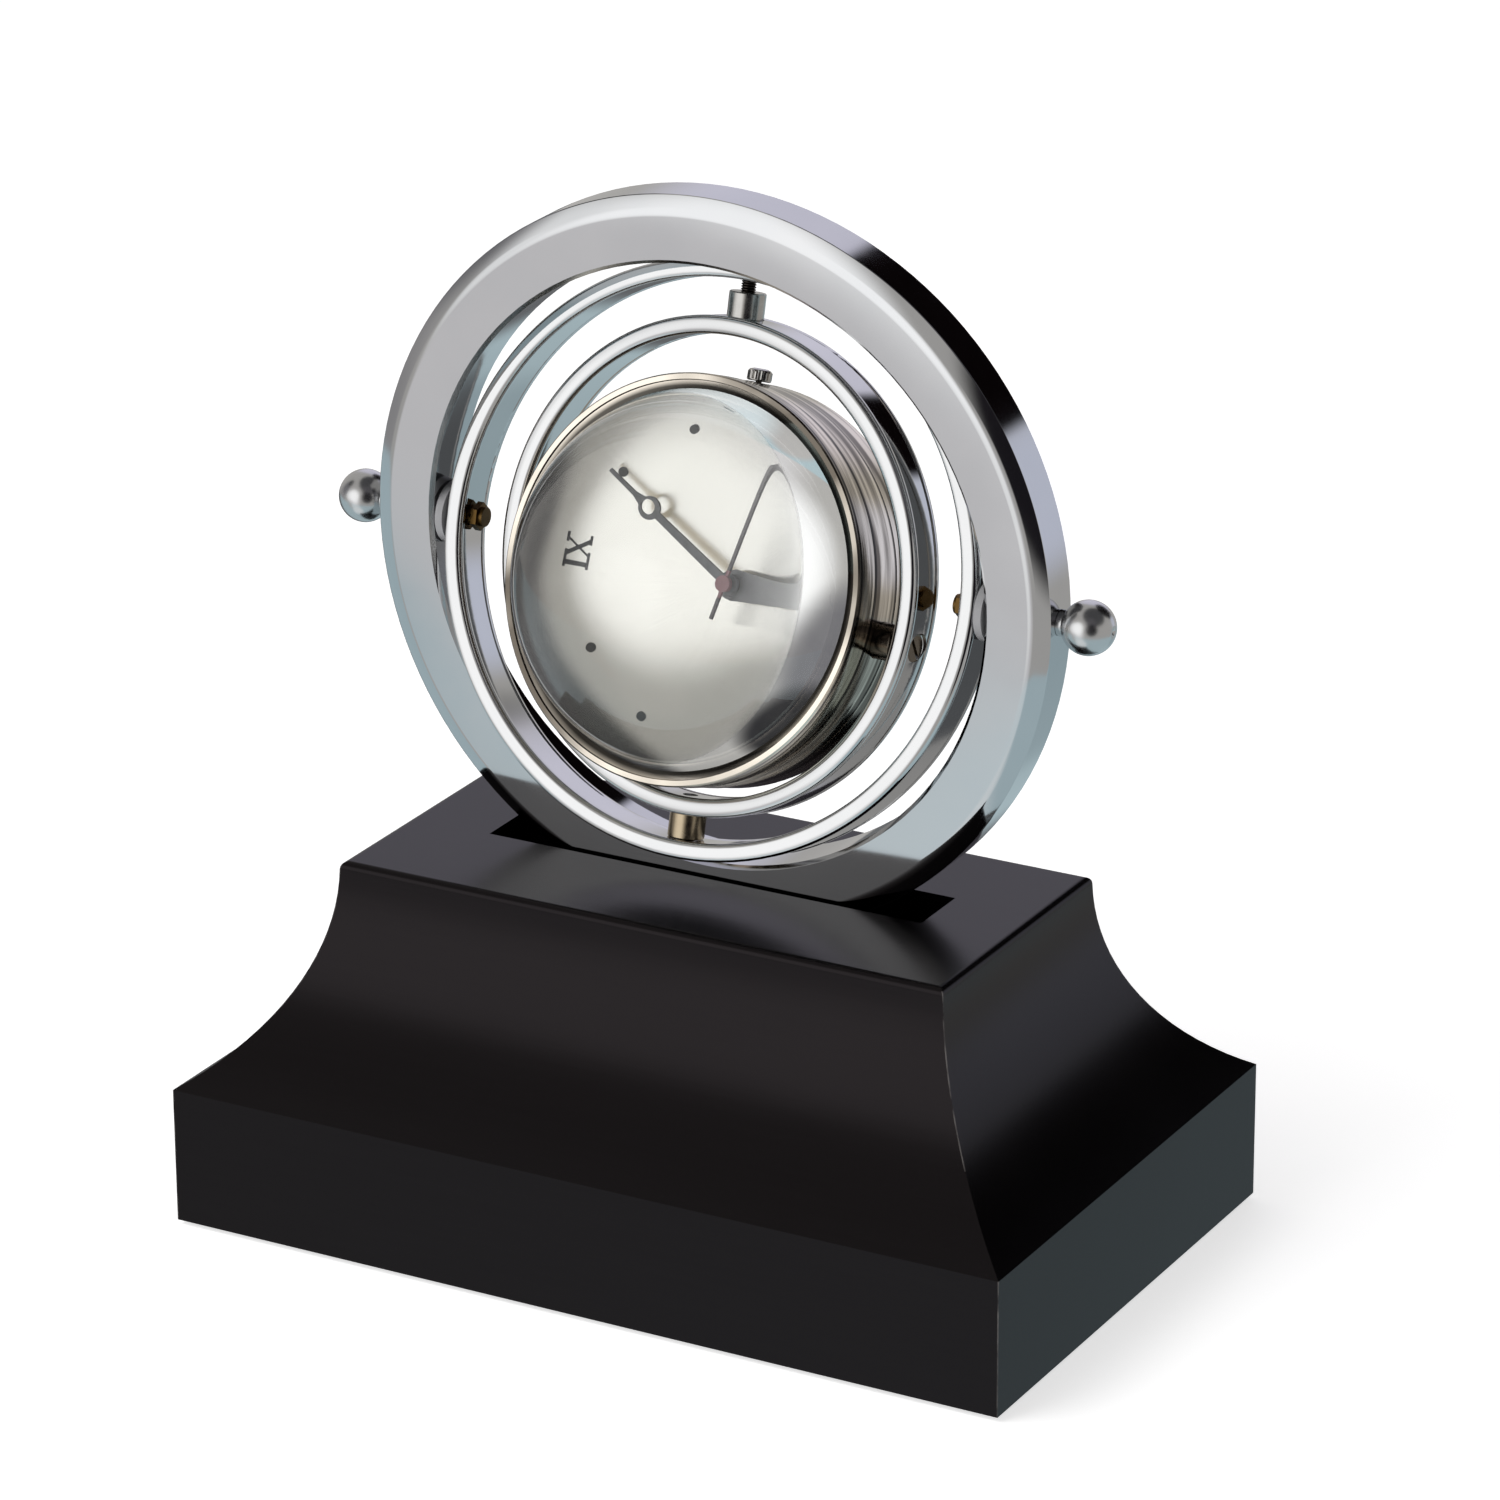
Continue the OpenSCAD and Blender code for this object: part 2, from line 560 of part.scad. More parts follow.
// Numerals are drawn upright with their feet at y = 0 and y going up.
module serif(x, y) translate([x, y]) square([stroke + 0.5, hairline], center = true);
module letter_i() {
    translate([-stroke / 2, 0]) square([stroke, numeral_h]);
    for (y = [hairline / 2, numeral_h - hairline / 2]) serif(0, y);
}
module letter_v() {
    w = 0.36 * numeral_h;
    polygon([[-w - stroke / 2, numeral_h], [-w + stroke / 2, numeral_h], [hairline, 0], [-hairline, 0]]);
    polygon([[w - hairline / 2, numeral_h], [w + hairline / 2, numeral_h], [hairline, 0], [0, 0]]);
    serif(-w, numeral_h - hairline / 2);
    serif(w, numeral_h - hairline / 2);
}
module letter_x() {
    w = 0.36 * numeral_h;
    polygon([[-w - stroke / 2, numeral_h], [-w + stroke / 2, numeral_h], [w + stroke / 2, 0], [w - stroke / 2, 0]]);
    polygon([[w - hairline / 2, numeral_h], [w + hairline / 2, numeral_h], [-w + hairline / 2, 0], [-w - hairline / 2, 0]]);
    for (s = [-1, 1]) for (y = [hairline / 2, numeral_h - hairline / 2]) serif(s * w, y);
}
module numeral(k) {
    step = stroke + 0.56;
    if (k == 3) for (i = [-1 : 1]) translate([i * step, 0]) letter_i();
    if (k == 6) { translate([-0.5 * step, 0]) letter_v(); translate([1.02 * step, 0]) letter_i(); }
    if (k == 9) { translate([-1.02 * step, 0]) letter_i(); translate([0.6 * step, 0]) letter_x(); }
    if (k == 12) { translate([-1.1 * step, 0]) letter_x(); for (i = [0, 1]) translate([(0.5 + i) * step, 0]) letter_i(); }
}
module dial_print() color("#35353a") at_case() translate([0, 0, dial_z - ink_t]) {
    for (k = [1, 2, 4, 5, 7, 8, 10, 11]) clockwise(k * 30) translate([0, -dot_ring, 0]) cylinder(r = dot_r, h = ink_t);
    for (k = [3, 6, 9, 12]) clockwise(k * 30) translate([0, -numeral_foot, 0]) linear_extrude(height = ink_t) mirror([0, 1, 0]) numeral(k);
}

// Cross pivots of the clock
module clock_screw_left() color("#8d8577") at_clock() rotate([0, -90, 0]) slotted_screw(cross_head - pass_gap, screw_tip, 20);
module clock_screw_right() color("#8d8577") at_clock() rotate([0, 90, 0]) slotted_screw(cross_head - pass_gap, screw_tip, driver_turn);
module clock_spacer_left() color("#8f8a83") at_clock() rotate([0, -90, 0]) translate([0, 0, spot_x + fix_fit]) spacer(cross_spacer_out - spot_x - fix_fit);
module clock_spacer_right() color("#8f8a83") at_clock() rotate([0, 90, 0]) translate([0, 0, spot_x + fix_fit]) spacer(cross_spacer_out - spot_x - fix_fit);

// Movement
module movement_holder() color("#e3e1da") at_case() difference() {
    translate([0, 0, holder_z]) cylinder(r = cup_ir - 0.3, h = holder_h);
    translate([0, 0, holder_z - 1]) cylinder(r = move_r + 0.1, h = holder_h + 2);
    translate([-1.1, -cup_or, plate_z - 1]) cube([2.2, cup_or - move_r + 1, stem_z - plate_z + 2.1]);
}
module movement_plate() color("#9a8f6a") at_case() difference() {
    translate([0, 0, plate_z]) cylinder(r = move_r, h = plate_t);
    translate([0, 0, plate_z - 1]) cylinder(r = tube_r + run_fit, h = plate_t + 2);
    translate([0, 0, plate_z - 1]) cylinder(r = 2.7, h = 1.55);
    translate([0, 0, stem_z]) rotate([90, 0, 0]) translate([0, 0, 5.4]) cylinder(r = stem_r + run_fit, h = move_r);
    translate([-1.5, -groove_y - crown_pull - 0.4, plate_z + 0.25]) cube([3, crown_pull + 0.8, plate_t]);
    translate([cell_x, cell_y, plate_z + 0.75]) cylinder(r = cell_r + 0.15, h = plate_t);
    translate([0.5, 5.2 - coil_r - 0.15, plate_z + 0.6]) cube([coil_l + 0.4, 2 * coil_r + 0.3, plate_t]);
}
module movement_bridge() color("#b9b6ad") at_case() {
    difference() {
        translate([0, 0, bridge_z]) cylinder(r = move_r - 0.4, h = bridge_t);
        translate([cell_x, cell_y, bridge_z - 1]) cylinder(r = cell_r + 0.3, h = bridge_t + 2);
        translate([0, 0, bridge_z - 1]) cylinder(r = arbor_r + run_fit, h = bridge_t + 2);
    }
    for (a = [60, 130, 205, 275]) rotate([0, 0, a + 55]) translate([move_r - 1.5, 0, plate_end + 0.02]) cylinder(r = 0.6, h = bridge_z - plate_end + 0.1);
}
module battery() color("#c3c3c0") at_case() translate([cell_x, cell_y, plate_z + 0.8]) cylinder(r = cell_r, h = cell_h);
module battery_strap() color("#c9b56a") at_case() {
    translate([cell_x - 1, cell_y - cell_r - 1.4, bridge_z + bridge_t + 0.02]) cube([2, 2 * cell_r + 0.4, 0.25]);
    translate([cell_x, cell_y, plate_z + 0.82 + cell_h]) cylinder(r = 0.7, h = bridge_z + bridge_t + 0.1 - plate_z - 0.82 - cell_h);
}
module coil() color("#a4622f") at_case() translate([0.7, 5.2, plate_z + 0.7 + coil_r]) along_x() cylinder(r = coil_r, h = coil_l);

// Hands: drawn pointing at twelve, y going up before the mirror
module pointer(len, eye, root, eye_o, eye_i) {
    difference() {
        union() {
            polygon([[-root / 2, 0], [root / 2, 0], [root * 0.34, eye], [-root * 0.34, eye]]);
            translate([0, eye]) circle(r = eye_o);
            polygon([[-0.6, eye + eye_o * 0.85], [0.6, eye + eye_o * 0.85], [0.26, eye + eye_o + 1], [0.2, len], [-0.2, len], [-0.26, eye + eye_o + 1]]);
        }
        translate([0, eye + 0.45 * (eye_o - eye_i)]) circle(r = eye_i);
    }
}
module hour_hand() color("#55555a") at_case() translate([0, 0, hour_z]) clockwise(hour_angle) difference() {
    linear_extrude(height = hand_t) mirror([0, 1, 0]) union() { pointer(hour_l, hour_eye, hour_w, eye_r + 0.35, eye_hole + 0.1); circle(r = pipe_r + 0.7); }
    translate([0, 0, -1]) cylinder(r = pipe_r + fix_fit, h = 2);
}
module hour_pipe() color("#b59a55") at_case() difference() {
    union() {
        translate([0, 0, hour_z - 0.08]) cylinder(r = pipe_r, h = plate_z + 0.1 - hour_z + 0.08);
        translate([0, 0, plate_z + 0.1]) cylinder(r = 2.4, h = 0.3);
    }
    translate([0, 0, hour_z - 1]) cylinder(r = tube_r + run_fit, h = 4);
}
module minute_hand() color("#55555a") at_case() translate([0, 0, minute_z]) clockwise(minute_angle) difference() {
    linear_extrude(height = hand_t) mirror([0, 1, 0]) union() { pointer(minute_l, minute_eye, minute_w, eye_r, eye_hole); circle(r = tube_r + 0.65); }
    translate([0, 0, -1]) cylinder(r = tube_r + fix_fit, h = 2);
}
module minute_arbor() color("#b59a55") at_case() difference() {
    union() {
        translate([0, 0, minute_z - 0.06]) cylinder(r = tube_r, h = plate_end + 0.15 - minute_z + 0.06);
        translate([0, 0, plate_end + 0.1]) cylinder(r = 0.95, h = 0.3);
    }
    translate([0, 0, minute_z - 1]) cylinder(r = arbor_r + run_fit, h = 8);
}
module second_hand() color("#9a6a70") at_case() translate([0, 0, second_z]) clockwise(second_angle) difference() {
    union() {
        translate([-second_w / 2, -second_l, 0]) cube([second_w, second_l + second_tail, 0.15]);
        translate([0, 0, disc_z - second_z]) cylinder(r = second_disc, h = second_z + 0.15 - disc_z);
    }
    translate([0, 0, disc_z - second_z + 0.1]) cylinder(r = arbor_r + fix_fit, h = 2);
}
module second_arbor() color("#8f8f8c") at_case() {
    translate([0, 0, disc_z + 0.12]) cylinder(r = arbor_r, h = bridge_z + bridge_t - disc_z - 0.12);
    translate([0, 0, plate_end + 0.65]) cylinder(r = 0.95, h = 0.3);
}

// Setting
module setting_slide() color("#8f8f8c") at_case() difference() {
    translate([-1.2, -groove_y - 0.15, plate_z + 0.4]) cube([2.4, 0.3, plate_t - 0.5]);
    translate([0, 0, stem_z]) rotate([90, 0, 0]) cylinder(r = stem_r - 0.2 + run_fit, h = 20);
}
module stem() color("#8f8f8c") at_case() translate([0, 0, stem_z]) rotate([90, 0, 0]) difference() {
    translate([0, 0, 6.6]) cylinder(r = stem_r, h = cup_or + crown_gap + 1.4 - 6.6);
    translate([0, 0, groove_y - groove_w / 2]) difference() {
        cylinder(r = stem_r + 1, h = groove_w);
        translate([0, 0, -1]) cylinder(r = stem_r - 0.2, h = groove_w + 2);
    }
}
module crown() color("#a9a6a0") at_case() translate([0, 0, stem_z]) rotate([90, 0, 0]) translate([0, 0, cup_or + crown_gap]) difference() {
    rotate_extrude() polygon([[0, 0], [crown_r - 0.2, 0], [crown_r, 0.2], [crown_r, crown_h - 0.7], [crown_r - 0.35, crown_h - 0.25], [crown_r - 1.1, crown_h], [0, crown_h]]);
    translate([0, 0, -1]) cylinder(r = stem_r + fix_fit, h = 2.5);
    for (i = [0 : flutes - 1]) rotate([0, 0, i * 360 / flutes]) translate([crown_r, 0, 0.35]) cylinder(r = flute_r, h = crown_h, $fn = 8);
}

wood_base();
felt_pad();
outer_ring();
ring_screws();
ring_washers();
middle_ring();
knob_left();
knob_right();
nylon_washer_left();
nylon_washer_right();
nut_left();
nut_right();
inner_ring();
upper_pivot_screw();
lower_pivot_screw();
upper_spacer();
lower_spacer();
case_band();
bezel();
case_back();
back_cover();
glass_dome();
lens_gasket();
dial();
dial_print();
clock_screw_left();
clock_screw_right();
clock_spacer_left();
clock_spacer_right();
movement_holder();
movement_plate();
movement_bridge();
battery();
battery_strap();
coil();
hour_hand();
hour_pipe();
minute_hand();
minute_arbor();
second_hand();
second_arbor();
setting_slide();
stem();
crown();
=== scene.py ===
# %% [markdown]
# # A spinning desk clock
# A black lacquered base holds a chromed ring. Two thinner rings and a nickel clock with a
# thick glass dome hang inside it on crossed pivots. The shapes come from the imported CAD
# model, and this lesson gives them their finishes, light and camera. The scene is in metres,
# and one factor brings in sizes that a workshop would give in millimetres.

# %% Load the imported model
import json
import math
import bpy
from mathutils import Matrix, Vector


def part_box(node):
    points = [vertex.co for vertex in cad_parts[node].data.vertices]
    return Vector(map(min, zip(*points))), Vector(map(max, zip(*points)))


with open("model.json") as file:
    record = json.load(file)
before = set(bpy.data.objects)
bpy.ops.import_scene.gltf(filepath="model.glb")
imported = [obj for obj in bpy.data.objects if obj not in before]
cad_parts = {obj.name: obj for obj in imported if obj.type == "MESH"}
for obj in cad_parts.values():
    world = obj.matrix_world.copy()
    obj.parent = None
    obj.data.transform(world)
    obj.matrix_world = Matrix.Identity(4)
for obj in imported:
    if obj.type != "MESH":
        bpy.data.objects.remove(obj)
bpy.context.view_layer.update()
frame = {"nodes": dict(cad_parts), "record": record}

parts = frame["nodes"]
mm = 0.001

# %% [markdown]
# ## The camera
# The photograph was taken from 29 degrees to the right and 21 degrees up, with a long lens.
# A camera could be placed by eye, but here its angles, distance and lens were fitted to the
# edges of the base and the circle of the ring. A long lens far away keeps the rings nearly
# round. A direction takes two angles: round from the front, and up from the table.

# %% Place the camera
def direction(around, up):
    around, up = math.radians(around), math.radians(up)
    return (math.sin(around) * math.cos(up), -math.cos(around) * math.cos(up), math.sin(up))


camera_around, camera_up, camera_roll = 29.04, 21.41, math.radians(-0.31)
camera_distance, aim_right, aim_above = 1.3972, 0.006595, 0.09298
to_camera = Vector(direction(camera_around, camera_up))
turned_by = math.radians(camera_around)
level = Vector((math.cos(turned_by), math.sin(turned_by), 0))
rise = to_camera.cross(level)
across = math.cos(camera_roll) * level + math.sin(camera_roll) * rise
upright = math.cos(camera_roll) * rise - math.sin(camera_roll) * level
view = Matrix((across, upright, to_camera)).transposed().to_4x4()
view.translation = camera_distance * to_camera + aim_right * across + aim_above * upright

lens = bpy.data.cameras.new("long_lens")
lens.lens, lens.sensor_width = 166.07, 36
camera = bpy.data.objects.new("camera", lens)
camera.matrix_world = view
bpy.context.scene.collection.objects.link(camera)
bpy.context.scene.camera = camera
bpy.context.scene.view_settings.view_transform = "Standard"
print("camera at", [round(v, 3) for v in view.translation])

# %% [markdown]
# ## Two helpers
# Colours are written as sRGB hex values, as a painter would pick them, and Blender wants them
# linear. Shaders could be wired by hand in the editor. Every one here is a small tree, so one
# function adds a node with its settings and links, and the tree can be read from top to bottom.

# %% Colour and node helpers
def linear(code, gain=1.0):
    shares = [int(code[i:i + 2], 16) / 255 for i in (1, 3, 5)]
    curve = [s / 12.92 if s <= 0.04045 else ((s + 0.055) / 1.055) ** 2.4 for s in shares]
    return tuple(gain * c for c in curve) + (1.0,)


def add(tree, kind, sockets=None, **settings):
    made = tree.nodes.new(kind)
    for name, value in settings.items():
        setattr(made, name, value)
    for socket, value in (sockets or {}).items():
        if isinstance(value, bpy.types.NodeSocket):
            tree.links.new(value, made.inputs[socket])
        else:
            made.inputs[socket].default_value = value
    return made


# The Mix node has its own sockets for each kind of value: these are the ones for colours.
SHARE, COLOUR_A, COLOUR_B, MIXED = 0, 6, 7, 2
WHITE = (1, 1, 1, 1)
print("grey 50% is", round(linear("#808080")[0], 3), "linear")

# %% [markdown]
# ## The studio
# Chrome shows the room, not itself. Real cards and softboxes could stand round the clock, but
# a painted room is quicker to tune: the world shader holds round panels with soft edges, laid
# over pale walls and a blue-green table top. Their places and tones were matched to the bands
# in the photograph's chrome. The camera sees plain white. Metal and glass see the
# room, because white all round would take the bands out of the chrome.

# %% Panels of the room
# Angles in degrees: round from the front, up, full within, gone beyond. Then colour and gain.
walls = [
    (-19, -12, 15, 30, "#e2e0e1", 1.0),  # pale wall, front left
    (70, 62, 36, 45, "#4a4a4c", 1.0),  # grey ceiling on the right
    (-14, -8, 9, 17, "#ffffff", 1.1),  # white card, low in front
    (-40, 7, 11, 22, "#ffffff", 1.1),  # white card, further left
    (-20, 11, 15, 28, "#ffffff", 1.4),  # softbox, the brightest panel
    (-85, -5, 12, 26, "#9e9c9d", 1.0),  # left wall
    (-74, 18, 13, 22, "#77767a", 1.0),  # left wall, higher and darker
    (-72, 38, 8, 15, "#343436", 1.0),  # dark card, high on the left
    (38, 38, 14, 24, "#5a585c", 1.0),  # grey card over the camera
    (38, 8, 19, 27, "#1e1c20", 1.0),  # dark card under the camera
    (-165, 27, 15, 32, "#e6e4f4", 0.95),  # rear wall, a little violet
    (150, 1, 7, 16, "#d6daea", 1.0),  # pale strip low on the rear wall
    (156, 35, 22, 25, "#0a0607", 1.0),  # black card behind on the right
]
table = [
    (-30, -32, 8, 11, "#c4c2c0", 1.0),  # grey sheet, front left
    (-41, -26, 5, 7.5, "#c0bebc", 1.0),  # its far corner
    (-135, -20, 22, 34, "#6a6c6e", 1.0),  # dark rear left
    (-16, -28, 10, 20, "#e0ebef", 1.0),  # light on the front
    (-12, -48, 12, 22, "#eef4f6", 1.0),  # light close to the clock
    (160, -28, 12, 20, "#a4b6bc", 1.0),  # dull rear
]
wall_tone, table_tone = "#b9b7b4", "#b7cad0"
# The table is a disc seen from above. Its edge is crisp and nearer on one side.
table_disc = (-119.7, -81.5, 69.4, 70.0)
print("room panels:", len(walls), "on the walls,", len(table), "on the table")

# %% Brushes for the room
room = bpy.data.worlds.new("studio_room")
bpy.context.scene.world = room
room.use_nodes = True
tree = room.node_tree
tree.nodes.clear()
towards = add(tree, "ShaderNodeTexCoord").outputs["Generated"]


def soft_mask(around, up, inside, outside):
    facing = add(tree, "ShaderNodeVectorMath", {0: towards, 1: direction(around, up)},
        operation="DOT_PRODUCT")
    soft = add(tree, "ShaderNodeMapRange", {"Value": facing.outputs["Value"],
        "From Min": math.cos(math.radians(outside)),
        "From Max": math.cos(math.radians(inside))}, interpolation_type="SMOOTHSTEP")
    return soft.outputs[0]


def painted(ground, panels):
    colour = linear(ground)
    for around, up, inside, outside, code, gain in panels:
        mask = soft_mask(around, up, inside, outside)
        colour = add(tree, "ShaderNodeMix", {SHARE: mask, COLOUR_A: colour,
            COLOUR_B: linear(code, gain)}, data_type="RGBA").outputs[MIXED]
    return colour


print("the front of the room is towards", direction(0, 0))

# %% Show the room to mirrors and white to the camera
room_colour = add(tree, "ShaderNodeMix", {SHARE: soft_mask(*table_disc),
    COLOUR_A: painted(wall_tone, walls), COLOUR_B: painted(table_tone, table)},
    data_type="RGBA").outputs[MIXED]
seen_by_camera = add(tree, "ShaderNodeLightPath").outputs["Is Camera Ray"]
lit = add(tree, "ShaderNodeBackground", {"Color": room_colour})
white = add(tree, "ShaderNodeBackground", {"Color": WHITE})
shown = add(tree, "ShaderNodeMixShader", {0: seen_by_camera, 1: lit.outputs[0],
    2: white.outputs[0]})
add(tree, "ShaderNodeOutputWorld", {"Surface": shown.outputs[0]})
print("world nodes:", len(tree.nodes))

# %% [markdown]
# ## The floor
# The clock stands on white paper. Paper under a weak lamp comes out grey. More light would
# bleach the clock too, so the paper glows a little instead: it turns white and keeps the soft
# shadow. Metal and glass look through it to the painted table.

# %% White paper floor
def finish(name):
    made = bpy.data.materials.new(name)
    made.use_nodes = True
    made.node_tree.nodes.clear()
    return made, made.node_tree


reach = 4
paper_glow = 0.68
sheet = bpy.data.meshes.new("white_sheet")
sheet.from_pydata([(-reach, -reach, 0), (reach, -reach, 0), (reach, reach, 0),
    (-reach, reach, 0)], [], [(0, 1, 2, 3)])
floor = bpy.data.objects.new("white_sheet", sheet)
bpy.context.scene.collection.objects.link(floor)
floor.visible_glossy = False
floor.visible_transmission = False
# Matt paper scatters light evenly, so it shows the shadow and no shine.
paper, tree = finish("white_paper")
diffuse = add(tree, "ShaderNodeBsdfDiffuse", {"Color": linear("#f4f4f4")})
lift = add(tree, "ShaderNodeEmission", {"Color": WHITE, "Strength": paper_glow})
both = add(tree, "ShaderNodeAddShader", {0: diffuse.outputs[0], 1: lift.outputs[0]})
add(tree, "ShaderNodeOutputMaterial", {"Surface": both.outputs[0]})
sheet.materials.append(paper)
print("floor is", 2 * reach, "m wide")

# %% [markdown]
# ## The key lamp
# The shadow in the photograph falls softly to the right, so the main light is wide and stands
# at the upper left. A sun lamp would cut a hard edge. An area lamp nearly a metre wide gives
# the soft one. The chrome doesn't show it, because the painted softbox is there already.

# %% Key lamp
lamp_width, lamp_watts, lamp_distance = 0.9, 7, 1.3
lamp_target = Vector((0, 0, 0.1))
to_lamp = Vector(direction(-40, 50))
lamp = bpy.data.lights.new("key_softbox", "AREA")
lamp.shape, lamp.energy = "RECTANGLE", lamp_watts
lamp.size = lamp.size_y = lamp_width
key = bpy.data.objects.new("key_softbox", lamp)
key.location = to_lamp * lamp_distance + lamp_target
key.rotation_euler = to_lamp.to_track_quat("Z", "Y").to_euler()
key.visible_glossy = False
key.visible_transmission = False
bpy.context.scene.collection.objects.link(key)
print("key lamp at", [round(v, 2) for v in key.location])

# %% [markdown]
# ## Axes of the moving pieces
# The rings and the clock lean in the photograph, so a pattern that runs round a ring or out
# from the dial's centre needs that piece's own axes. They could be measured on the mesh. The
# joints of the record already carry them.

# %% Axes from the record
joints = {j["name"]: j for j in frame["record"]["behaviour"]["joints"]}
dial_depth = Vector(joints["second_spin"]["axis"]).normalized()
dial_up = Vector(joints["crown_turn"]["axis"]).normalized()
dial_right = dial_depth.cross(dial_up)
upright_pivot = Vector(joints["inner_spin"]["axis"]).normalized()
hub = Vector(joints["second_spin"]["pos_m"])
ring_centre = Vector(joints["middle_spin"]["pos_m"])
middle_front = upright_pivot.cross(Vector(joints["middle_spin"]["axis"]))
inner_front = upright_pivot.cross(Vector(joints["clock_tumble"]["axis"])).normalized()
print("hub", hub, "depth", dial_depth)

# %% [markdown]
# ## Metals
# Plated, turned and rolled metals differ in tone and polish, so one function makes them all.
# A flat grey would look like paint. On real metal the polishing wheel leaves patches, and a
# soft noise of their size shifts both the tone and the roughness a little.

# %% Make a metal and put it on
NOISE_LOW, NOISE_HIGH = 0.3, 0.7  # nearly all values of a noise lie between these


def metal(name, dull, bright, smooth, rough, patch_mm, normal=None):
    made, tree = finish(name)
    place = add(tree, "ShaderNodeTexCoord").outputs["Object"]
    buff = add(tree, "ShaderNodeTexNoise", {"Vector": place, "Scale": 1 / (patch_mm * mm),
        "Detail": 4}).outputs[0]
    gloss = add(tree, "ShaderNodeMapRange", {"Value": buff, "From Min": NOISE_LOW,
        "From Max": NOISE_HIGH, "To Min": smooth, "To Max": rough})
    tone = add(tree, "ShaderNodeMix", {SHARE: buff, COLOUR_A: linear(dull),
        COLOUR_B: linear(bright)}, data_type="RGBA")
    shader = add(tree, "ShaderNodeBsdfPrincipled", {"Base Color": tone.outputs[MIXED],
        "Metallic": 1.0, "Roughness": gloss.outputs[0]})
    if normal:
        tree.links.new(normal(tree, place), shader.inputs["Normal"])
    add(tree, "ShaderNodeOutputMaterial", {"Surface": shader.outputs[0]})
    return made


def dress(made, *names):
    for name in names:
        for slot in parts[name].material_slots:
            slot.material = made
    print(made.name, "on", ", ".join(names))


print("a patch of 5 mm is a noise scale of", round(1 / (5 * mm)))

# %% [markdown]
# ## The wide ring
# The polishing wheel leaves no crisp edge on the big ring: its face rolls over into the bevel
# and ends in a thin dark line. Rounding the mesh would need many more faces. The CAD has the
# bevel, so the shading normal is tilted outward by the distance from the ring's centre. The
# face is also crowned a little near its top, and the roll is steeper on the right.

# %% Sizes of the rolled edge
# Millimetres from the ring's centre where a tilt starts and ends, and how far it leans out.
crown_from, crown_to, crown_low, crown_top = 62.0, 70.5, 0.01, 0.043
roll_from, roll_to, roll_lean = 70.6, 72.3, 0.37
lip_from, lip_to, lip_lean = 72.2, 75.5, 0.08
line_from, line_to, line_lean = 74.5, 74.8, 1.0
top_starts, steeper_right = 0.5, 1.28
face_starts, face_full = 0.8, 0.85  # how squarely a face must look forward to be tilted
print("the face rolls over within", round(roll_to - roll_from, 1), "mm")

# %% Tilt the shading outward
VECTOR_A, VECTOR_B, MIXED_VECTOR = 4, 5, 1  # the Mix node's sockets for vectors


def rolled_edge(tree, place):
    from_centre = add(tree, "ShaderNodeVectorMath", {0: place, 1: ring_centre},
        operation="SUBTRACT")
    in_plane = add(tree, "ShaderNodeVectorMath", {0: from_centre.outputs[0], 1: (1, 0, 1)},
        operation="MULTIPLY").outputs[0]
    radius = add(tree, "ShaderNodeVectorMath", {0: in_plane}, operation="LENGTH")
    outward = add(tree, "ShaderNodeVectorMath", {0: in_plane}, operation="NORMALIZE").outputs[0]
    around = add(tree, "ShaderNodeSeparateXYZ", {0: outward})
    crown = add(tree, "ShaderNodeMapRange", {"Value": around.outputs["Z"],
        "From Min": top_starts, "To Min": crown_low, "To Max": crown_top}).outputs[0]
    steeper = add(tree, "ShaderNodeMapRange", {"Value": around.outputs["X"],
        "To Min": 1.0, "To Max": steeper_right}).outputs[0]
    tilts = [add(tree, "ShaderNodeMapRange", {"Value": radius.outputs["Value"],
        "From Min": start * mm, "From Max": end * mm, "To Max": lean}).outputs[0]
        for start, end, lean in ((crown_from, crown_to, crown), (roll_from, roll_to, roll_lean),
            (lip_from, lip_to, lip_lean), (line_from, line_to, line_lean))]
    tilt = tilts[0]
    for operation, other in (("ADD", tilts[1]), ("ADD", tilts[2]), ("MULTIPLY", steeper),
            ("ADD", tilts[3])):
        tilt = add(tree, "ShaderNodeMath", {0: tilt, 1: other}, operation=operation).outputs[0]
    true_normal = add(tree, "ShaderNodeNewGeometry").outputs["Normal"]
    facing = add(tree, "ShaderNodeSeparateXYZ", {0: true_normal}).outputs["Y"]
    side = add(tree, "ShaderNodeMath", {0: facing}, operation="SIGN")
    forward = add(tree, "ShaderNodeCombineXYZ", {"Y": side.outputs[0]})
    leaning = add(tree, "ShaderNodeVectorMath", {0: outward, "Scale": tilt}, operation="SCALE")
    rolled = add(tree, "ShaderNodeVectorMath", {0: leaning.outputs[0], 1: forward.outputs[0]},
        operation="ADD")
    square = add(tree, "ShaderNodeMath", {0: facing}, operation="ABSOLUTE")
    on_face = add(tree, "ShaderNodeMapRange", {"Value": square.outputs[0],
        "From Min": face_starts, "From Max": face_full})
    mixed = add(tree, "ShaderNodeMix", {SHARE: on_face.outputs[0], VECTOR_A: true_normal,
        VECTOR_B: rolled.outputs[0]}, data_type="VECTOR")
    return add(tree, "ShaderNodeVectorMath", {0: mixed.outputs[MIXED_VECTOR]},
        operation="NORMALIZE").outputs[0]


# Bright chrome over brass, buffed to a mirror: cool, hard reflections with little colour.
# The patches of the buffing wheel are about as wide as a finger.
dress(metal("chromed_brass_outer", "#c6c8ca", "#d2d2d3", 0.05, 0.1, 16.7, rolled_edge),
    "outer_ring")

# %% [markdown]
# ## The thin rings
# Their rims look round at the edges and nearly flat in the middle, as on a bent strip with
# filed edges. The CAD has full round rims. Where the surface looks along the ring's axis, the
# normal is pulled further towards that axis, which flattens the middle and leaves the edges.

# %% Flat rims of the thin rings
rim_power, rim_pull = 3.0, 2.6


